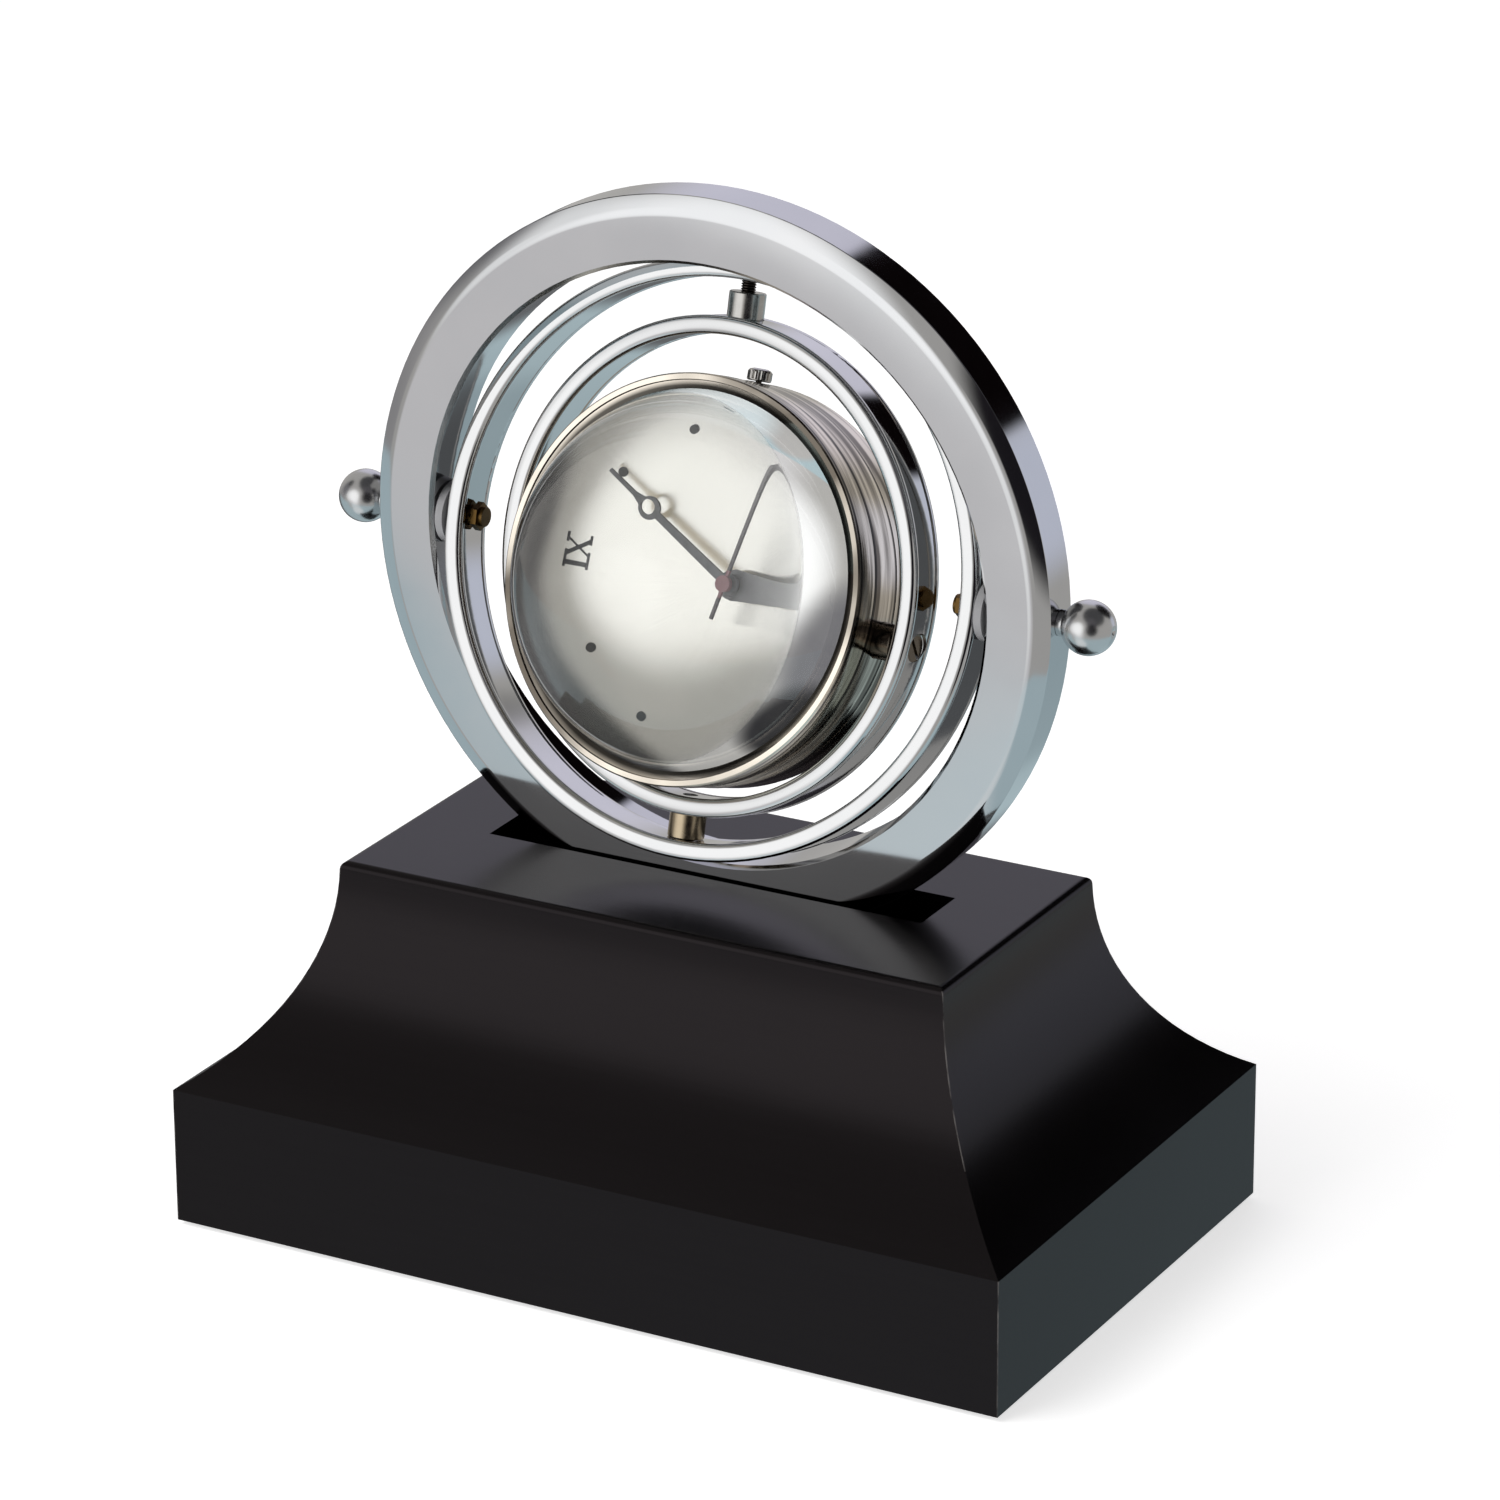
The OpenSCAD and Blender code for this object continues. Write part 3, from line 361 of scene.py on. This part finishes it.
def flat_rim(axis):
    def normal(tree, place):
        true_normal = add(tree, "ShaderNodeNewGeometry").outputs["Normal"]
        inside = add(tree, "ShaderNodeVectorTransform", {0: true_normal},
            vector_type="NORMAL", convert_from="WORLD", convert_to="OBJECT").outputs[0]
        facing = add(tree, "ShaderNodeVectorMath", {0: inside, 1: axis},
            operation="DOT_PRODUCT")
        steep = add(tree, "ShaderNodeMath", {0: facing.outputs["Value"], 1: rim_power},
            operation="POWER")
        pull = add(tree, "ShaderNodeMath", {0: steep.outputs[0], 1: rim_pull},
            operation="MULTIPLY")
        pulled = add(tree, "ShaderNodeVectorMath", {0: axis, "Scale": pull.outputs[0]},
            operation="SCALE")
        summed = add(tree, "ShaderNodeVectorMath", {0: pulled.outputs[0], 1: inside},
            operation="ADD")
        outside = add(tree, "ShaderNodeVectorTransform", {0: summed.outputs[0]},
            vector_type="NORMAL", convert_from="OBJECT", convert_to="WORLD")
        return add(tree, "ShaderNodeVectorMath", {0: outside.outputs[0]},
            operation="NORMALIZE").outputs[0]
    return normal


# The same chrome on rolled strip. It is a little brighter and smoother than the wide ring.
for ring, front in (("middle", middle_front), ("inner", inner_front)):
    dress(metal("chromed_brass_" + ring, "#cbcccd", "#d6d6d6", 0.035, 0.08, 16.7,
        flat_rim(front)), ring + "_ring")

# %% [markdown]
# ## Small metal pieces
# Knobs, spacers, screws and the movement are metals of the same kind, each with a tone and a
# polish of its own. A table of them is easier to compare and tune than a dozen trees. Tool
# marks are really about 0.1 mm wide. They are drawn as patches of a few millimetres, so that
# they show.

# %% Table of small metals
# Name, dull tone, bright tone, smoothest, roughest, patch in millimetres, pieces.
small_metals = [
    # Chrome on a turned ball, hardly buffed: the highlight is wide and soft.
    ("chromed_brass_turned", "#c9cacb", "#d6d6d6", 0.2, 0.26, 5, ["knob_left", "knob_right"]),
    # Nickel plate is warmer than chrome, and its mirror a little softer.
    ("nickel_plated_brass", "#aeaba7", "#c4c1bc", 0.07, 0.16, 11.1, ["back_cover", "crown"]),
    # Bright steel from the lathe: the tool marks blur its mirror to a streak.
    ("turned_bright_steel", "#a8a6a3", "#c8c6c2", 0.15, 0.28, 2.5, ["upper_spacer"]),
    # Nickel in a dark, brownish tone.
    ("turned_dull_nickel", "#5a5248", "#8a8074", 0.15, 0.28, 2.5,
        ["clock_spacer_left", "clock_spacer_right"]),
    # Nickel silver is yellower than steel, like weak tea over grey.
    ("turned_nickel_silver", "#a3937a", "#c4b59a", 0.18, 0.3, 2.5, ["lower_spacer"]),
    # Oil darkens steel and leaves only a dull shine.
    ("oiled_dark_steel", "#3a3532", "#5c5550", 0.25, 0.4, 2,
        ["upper_pivot_screw", "lower_pivot_screw", "stem", "setting_slide"]),
    # Bare screw steel browns with age.
    ("aged_screw_steel", "#6e6254", "#94887a", 0.2, 0.34, 2,
        ["clock_screw_left", "clock_screw_right"]),
    # Brass that was never lacquered turns brown and loses its mirror.
    ("aged_brass", "#4c3a20", "#7a5e34", 0.22, 0.4, 2, ["nut_left", "nut_right"]),
    # Zinc plate is a cool, even grey.
    ("zinc_plated_steel", "#8f9193", "#aeb1b3", 0.25, 0.4, 3.33, ["ring_screws", "ring_washers"]),
    # Brass plates and wheels, fresh and yellow inside the closed case.
    ("clock_brass", "#9a7b3e", "#c4a45e", 0.2, 0.34, 2.5,
        ["movement_plate", "hour_pipe", "minute_arbor", "second_arbor"]),
    # Stainless sheet keeps a cool, satin shine.
    ("stainless_steel", "#a9a9aa", "#c2c2c4", 0.18, 0.3, 3.33,
        ["movement_bridge", "battery", "battery_strap"]),
    # Enamelled copper wire shows red brown, broken up by its turns.
    ("copper_wire", "#8a4a2c", "#b8693f", 0.3, 0.45, 1.25, ["coil"]),
]
for name, dull, bright, smooth, rough, patch_mm, pieces in small_metals:
    dress(metal(name, dull, bright, smooth, rough, patch_mm), *pieces)

# %% [markdown]
# ## The sides of the case
# Bezel, band and rear cup were turned on a lathe and plated over the tool marks, which run
# round the case. They could be grooves in the mesh, but they are far too fine. A noise that is
# short along the case's depth and long round its rim gives the same streaks. Dark lines come
# from a ramp along the depth. Where two pieces meet, the CAD has a small bevel under the line.
# The groove behind the bezel's rim is drawn here only.

# %% Distances from the hub
def from_hub(tree):
    place = add(tree, "ShaderNodeTexCoord").outputs["Object"]
    return add(tree, "ShaderNodeVectorMath", {0: place, 1: hub}, operation="SUBTRACT").outputs[0]


def along(tree, offset, *axes):
    return [add(tree, "ShaderNodeVectorMath", {0: offset, 1: axis},
        operation="DOT_PRODUCT").outputs["Value"] for axis in axes]


print("the hub is", round(hub.z / mm, 1), "mm above the table")

# %% Nickel over tool marks
# Real marks are about 0.1 mm apart. These are coarser, so that they show.
mark_width_mm, mark_length_mm = 2.38, 40
# Nickel is a warm grey. The streaks part its mirror into light and dark threads.
turned, tree = finish("nickel_plated_turned_brass")
depth, right, up = along(tree, from_hub(tree), dial_depth, dial_right, dial_up)
mark = add(tree, "ShaderNodeCombineXYZ", {"X": depth, "Y": right, "Z": up})
stretch = add(tree, "ShaderNodeMapping", {"Vector": mark.outputs[0], "Scale": (
    1 / (mark_width_mm * mm), 1 / (mark_length_mm * mm), 1 / (mark_length_mm * mm))})
marks = add(tree, "ShaderNodeTexNoise", {"Vector": stretch.outputs[0], "Scale": 1, "Detail": 3})
sharp = add(tree, "ShaderNodeMapRange", {"Value": marks.outputs[0], "From Min": 0.4,
    "From Max": 0.6})
tone = add(tree, "ShaderNodeMix", {SHARE: sharp.outputs[0], COLOUR_A: linear("#6a635a"),
    COLOUR_B: linear("#ece3d5")}, data_type="RGBA")
print("marks:", mark_length_mm, "by", mark_width_mm, "mm")

# %% Seams of the case
# Millimetres behind the hub, and the share of light that is left there.
seam_shades = ((-13.5, 1), (-13.2, 0.1), (-12.7, 0.1), (-12.4, 1), (-8.2, 1), (-7.9, 0.08),
    (-6.9, 0.08), (-6.6, 1), (0.0, 1), (0.3, 0.12), (1.0, 0.12), (1.3, 1))
ramp_from, ramp_to = -15, 5
along_case = add(tree, "ShaderNodeMapRange", {"Value": depth, "From Min": ramp_from * mm,
    "From Max": ramp_to * mm})
seams = add(tree, "ShaderNodeValToRGB", {0: along_case.outputs[0]})
stops = seams.color_ramp.elements
for behind_mm, shade in seam_shades:
    stops.new((behind_mm - ramp_from) / (ramp_to - ramp_from)).color = (shade, shade, shade, 1)
stops[0].color = stops[-1].color = WHITE
grooved = add(tree, "ShaderNodeMix", {SHARE: 1.0, COLOUR_A: tone.outputs[MIXED],
    COLOUR_B: seams.outputs[0]}, data_type="RGBA", blend_type="MULTIPLY")
relief = add(tree, "ShaderNodeBump", {"Strength": 0.2, "Distance": 0.4 * mm,
    "Height": marks.outputs[0]})
shader = add(tree, "ShaderNodeBsdfPrincipled", {"Base Color": grooved.outputs[MIXED],
    "Metallic": 1.0, "Roughness": 0.12, "Normal": relief.outputs[0]})
add(tree, "ShaderNodeOutputMaterial", {"Surface": shader.outputs[0]})
dress(turned, "bezel", "case_band", "case_back")

# %% [markdown]
# ## Plastic, rubber, felt and ink
# These are no metals: their colour comes from the stuff itself, and the shine is a thin veil.
# One function with a faint mottle serves them all, because most are small or hidden.

# %% Table of matt finishes
# Name, dark tone, pale tone, roughness, mottle in millimetres, specular level, pieces.
matt_finishes = [
    # Nylon is waxy: a soft grey shine without a mirror.
    ("grey_nylon", "#8e8e90", "#a8a8aa", 0.45, 3.33, 0.5,
        ["nylon_washer_left", "nylon_washer_right"]),
    # Pressed wool felt swallows light. Its fibres are drawn coarser than they are.
    ("black_felt", "#121213", "#242426", 0.95, 0.833, 0.2, ["felt_pad"]),
    # Moulded rubber is a dull, even black.
    ("black_rubber", "#1a1a1b", "#2a2a2b", 0.6, 3.33, 0.5, ["lens_gasket"]),
    # Printing ink lies thin, so the black is a little uneven.
    ("printed_black_ink", "#1c1c1e", "#353537", 0.6, 1.11, 0.5, ["dial_print"]),
    # Moulded acetal is milky white with a low shine.
    ("white_acetal", "#d4d2cc", "#e4e2dc", 0.5, 3.33, 0.5, ["movement_holder"]),
]
for name, dark, pale, rough, mottle_mm, specular, pieces in matt_finishes:
    matt, tree = finish(name)
    place = add(tree, "ShaderNodeTexCoord").outputs["Object"]
    mottle = add(tree, "ShaderNodeTexNoise", {"Vector": place, "Scale": 1 / (mottle_mm * mm),
        "Detail": 4})
    tone = add(tree, "ShaderNodeMix", {SHARE: mottle.outputs[0], COLOUR_A: linear(dark),
        COLOUR_B: linear(pale)}, data_type="RGBA")
    shader = add(tree, "ShaderNodeBsdfPrincipled", {"Base Color": tone.outputs[MIXED],
        "Roughness": rough, "Specular IOR Level": specular})
    add(tree, "ShaderNodeOutputMaterial", {"Surface": shader.outputs[0]})
    dress(matt, *pieces)

# %% [markdown]
# ## The hour and minute hands
# They are stamped from nickel sheet and lacquered grey on top only. The bare underside is
# pale, and the polished dial mirrors it as a light twin beside each hand. Two materials would
# need two slots. One is enough here, since the way a face looks tells top from underside.

# %% Hand lacquer
paint_mottle_mm = 1.11
# Satin lacquer hides the metal: an even grey on top, a warm mirror below.
hands, tree = finish("grey_lacquer_on_nickel")
place = add(tree, "ShaderNodeTexCoord").outputs["Object"]
mottle = add(tree, "ShaderNodeTexNoise", {"Vector": place, "Scale": 1 / (paint_mottle_mm * mm),
    "Detail": 4})
grey = add(tree, "ShaderNodeMix", {SHARE: mottle.outputs[0], COLOUR_A: linear("#56565a"),
    COLOUR_B: linear("#828286")}, data_type="RGBA")
true_normal = add(tree, "ShaderNodeNewGeometry").outputs["Normal"]
inside = add(tree, "ShaderNodeVectorTransform", {0: true_normal}, vector_type="NORMAL",
    convert_from="WORLD", convert_to="OBJECT")
downward = add(tree, "ShaderNodeVectorMath", {0: inside.outputs[0], 1: dial_depth},
    operation="DOT_PRODUCT")
under = add(tree, "ShaderNodeMapRange", {"Value": downward.outputs["Value"], "From Min": 0.4,
    "From Max": 0.6})
tone = add(tree, "ShaderNodeMix", {SHARE: under.outputs[0], COLOUR_A: grey.outputs[MIXED],
    COLOUR_B: linear("#f0e4cc")}, data_type="RGBA")
shader = add(tree, "ShaderNodeBsdfPrincipled", {"Base Color": tone.outputs[MIXED],
    "Metallic": under.outputs[0], "Roughness": 0.4})
add(tree, "ShaderNodeOutputMaterial", {"Surface": shader.outputs[0]})
dress(hands, "hour_hand", "minute_hand")

# %% [markdown]
# ## The second hand
# The thin hand is dark, and its round boss is copper pink. They are one stamped piece, so the
# paint tells the boss from the arms by its distance from the axis of the hands.

# %% Second hand paint
boss_from_mm, boss_to_mm = 1.7, 1.9
# Lacquer over copper: a dusty pink boss, and arms that are nearly black.
sweep, tree = finish("copper_and_black_lacquer")
place = add(tree, "ShaderNodeTexCoord").outputs["Object"]
offset = from_hub(tree)
off_axis = add(tree, "ShaderNodeVectorMath", {0: offset, 1: dial_depth},
    operation="CROSS_PRODUCT")
radius = add(tree, "ShaderNodeVectorMath", {0: off_axis.outputs[0]}, operation="LENGTH")
boss = add(tree, "ShaderNodeMapRange", {"Value": radius.outputs["Value"],
    "From Min": boss_from_mm * mm, "From Max": boss_to_mm * mm, "To Min": 1.0, "To Max": 0.0})
mottle = add(tree, "ShaderNodeTexNoise", {"Vector": place, "Scale": 1 / (paint_mottle_mm * mm),
    "Detail": 3})
pink = add(tree, "ShaderNodeMix", {SHARE: mottle.outputs[0], COLOUR_A: linear("#96606a"),
    COLOUR_B: linear("#b57a80")}, data_type="RGBA")
tone = add(tree, "ShaderNodeMix", {SHARE: boss.outputs[0], COLOUR_A: linear("#3a3036"),
    COLOUR_B: pink.outputs[MIXED]}, data_type="RGBA")
shader = add(tree, "ShaderNodeBsdfPrincipled", {"Base Color": tone.outputs[MIXED],
    "Roughness": 0.4})
add(tree, "ShaderNodeOutputMaterial", {"Surface": shader.outputs[0]})
dress(sweep, "second_hand")

# %% [markdown]
# ## The base
# The block is shaped from wood, sprayed black and rubbed down to a satin gloss. A plain black
# would look like plastic. Pores that run along the grain, cloudy gloss and lacquer rubbed
# thin at the corners give the wood away. The pale corners are also a painted highlight along
# the edges. On a block whose sides all step in by the same amount, the corners are where the
# width exceeds the depth by one fixed length, so a subtraction finds them.

# %% Black lacquered wood
pore_length_mm, pore_width_mm, cloud_mm = 25, 1.11, 40
# Satin lacquer: a soft grey sheen where it meets the light, deep black elsewhere.
lacquer, tree = finish("black_lacquered_wood")
place = add(tree, "ShaderNodeTexCoord").outputs["Object"]
grain = add(tree, "ShaderNodeMapping", {"Vector": place, "Scale": (
    1 / (pore_length_mm * mm), 1 / (pore_width_mm * mm), 1 / (pore_width_mm * mm))})
pores = add(tree, "ShaderNodeTexNoise", {"Vector": grain.outputs[0], "Scale": 1, "Detail": 4})
cloud = add(tree, "ShaderNodeTexNoise", {"Vector": place, "Scale": 1 / (cloud_mm * mm),
    "Detail": 4})
gloss = add(tree, "ShaderNodeMapRange", {"Value": cloud.outputs[0], "To Min": 0.19,
    "To Max": 0.27})
tone = add(tree, "ShaderNodeMix", {SHARE: pores.outputs[0], COLOUR_A: linear("#030203"),
    COLOUR_B: linear("#070607")}, data_type="RGBA")
relief = add(tree, "ShaderNodeBump", {"Strength": 0.05, "Distance": 0.2 * mm,
    "Height": pores.outputs[0]})
print("pores:", pore_length_mm, "by", pore_width_mm, "mm")

# %% Worn corners of the base, partly a painted highlight
wear_and_highlight_mm, chip_mm, slot_mm = 0.2, 4, 20
upright_limit = 0.6  # a face that looks up more than this is no side
base_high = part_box("wood_base")[1]
width_over_depth = base_high[0] - base_high[1]
mirrored = add(tree, "ShaderNodeVectorMath", {0: place}, operation="ABSOLUTE")
sides = add(tree, "ShaderNodeSeparateXYZ", {0: mirrored.outputs[0]})
excess = add(tree, "ShaderNodeMath", {0: sides.outputs["X"], 1: sides.outputs["Y"]},
    operation="SUBTRACT")
at_corner = add(tree, "ShaderNodeMath", {0: excess.outputs[0], 1: width_over_depth,
    2: wear_and_highlight_mm * mm}, operation="COMPARE")
chips = add(tree, "ShaderNodeTexNoise", {"Vector": place, "Scale": 1 / (chip_mm * mm),
    "Detail": 3})
chipped = add(tree, "ShaderNodeMapRange", {"Value": chips.outputs[0], "From Min": 0.35,
    "From Max": 0.65})
true_normal = add(tree, "ShaderNodeNewGeometry").outputs["Normal"]
facing = add(tree, "ShaderNodeSeparateXYZ", {0: true_normal})
on_side = add(tree, "ShaderNodeMath", {0: facing.outputs["Z"], 1: upright_limit},
    operation="LESS_THAN")
off_slot = add(tree, "ShaderNodeMath", {0: sides.outputs["Y"], 1: slot_mm * mm},
    operation="GREATER_THAN")
wear_and_edge_highlight = at_corner
for only in (chipped, on_side, off_slot):
    wear_and_edge_highlight = add(tree, "ShaderNodeMath", {0: wear_and_edge_highlight.outputs[0], 1: only.outputs[0]},
        operation="MULTIPLY")
# Pale corner edges: partly lacquer rubbed thin, partly a painted highlight along the edge.
tone = add(tree, "ShaderNodeMix", {SHARE: wear_and_edge_highlight.outputs[0], COLOUR_A: tone.outputs[MIXED],
    COLOUR_B: linear("#5c5957")}, data_type="RGBA")
shader = add(tree, "ShaderNodeBsdfPrincipled", {"Base Color": tone.outputs[MIXED],
    "Roughness": gloss.outputs[0], "Specular IOR Level": 0.2,
    "Specular Tint": linear("#fff0f5"), "Normal": relief.outputs[0]})
add(tree, "ShaderNodeOutputMaterial", {"Surface": shader.outputs[0]})
dress(lacquer, "wood_base")

# %% [markdown]
# ## The glass dome
# A solid half ball of crown glass, ground and polished. It works as a lens: it magnifies the
# dial on the near side and mirrors it on the far side. A thin shell would be faster to render
# and would show none of that. The CAD dome is solid, so plain glass does it all. Glass keeps
# faint streaks of tint, about 25 mm long, which hardly show in so clear a piece.

# %% Dome glass
streak_mm, crown_glass_ior = 25, 1.517
# Polished glass has no roughness: sharp reflections over a sharp view of the dial.
glass, tree = finish("crown_glass_polished")
place = add(tree, "ShaderNodeTexCoord").outputs["Object"]
streaks = add(tree, "ShaderNodeTexNoise", {"Vector": place, "Scale": 1 / (streak_mm * mm),
    "Detail": 2})
tint = add(tree, "ShaderNodeMix", {SHARE: streaks.outputs[0], COLOUR_A: WHITE,
    COLOUR_B: linear("#fbfdfb")}, data_type="RGBA")
shader = add(tree, "ShaderNodeBsdfPrincipled", {"Base Color": tint.outputs[MIXED],
    "Roughness": 0.0, "IOR": crown_glass_ior, "Transmission Weight": 1.0})
add(tree, "ShaderNodeOutputMaterial", {"Surface": shader.outputs[0]})
dress(glass, "glass_dome")

# %% [markdown]
# ## The dial
# A silvered brass disc with sunray brushing: fine lines run out from the centre, so the light
# draws bright fans through the hub. Lines could be cut as bump, but they are too fine for that
# and would sparkle. An anisotropic metal whose tangent runs round the hub spreads the light as
# the lines do, and a noise in angle and distance tints them.

# %% Sunray brushed dial
line_gap_mm, numerals_mm, line_length_mm = 0.08, 24, 16.7
lines_per_radian = numerals_mm / line_gap_mm
# Silvered brass is pale and a little warm, with a silky sheen in place of a mirror.
silver, tree = finish("silvered_brass_sunray")
offset = from_hub(tree)
right, up = along(tree, offset, dial_right, dial_up)
angle = add(tree, "ShaderNodeMath", {0: up, 1: right}, operation="ARCTAN2")
distance = add(tree, "ShaderNodeVectorMath", {0: offset}, operation="LENGTH")
ray = add(tree, "ShaderNodeCombineXYZ", {"X": angle.outputs[0], "Y": distance.outputs["Value"]})
brush = add(tree, "ShaderNodeMapping", {"Vector": ray.outputs[0],
    "Scale": (lines_per_radian, 1 / (line_length_mm * mm), 1)})
lines = add(tree, "ShaderNodeTexNoise", {"Vector": brush.outputs[0], "Scale": 1, "Detail": 3})
tone = add(tree, "ShaderNodeMix", {SHARE: lines.outputs[0], COLOUR_A: linear("#dddad4"),
    COLOUR_B: linear("#f0eee9")}, data_type="RGBA")
round_hub = add(tree, "ShaderNodeVectorMath", {0: dial_depth, 1: offset},
    operation="CROSS_PRODUCT")
shader = add(tree, "ShaderNodeBsdfPrincipled", {"Base Color": tone.outputs[MIXED],
    "Metallic": 1.0, "Roughness": 0.26, "Anisotropic": 0.8, "Tangent": round_hub.outputs[0]})
add(tree, "ShaderNodeOutputMaterial", {"Surface": shader.outputs[0]})
dress(silver, "dial")
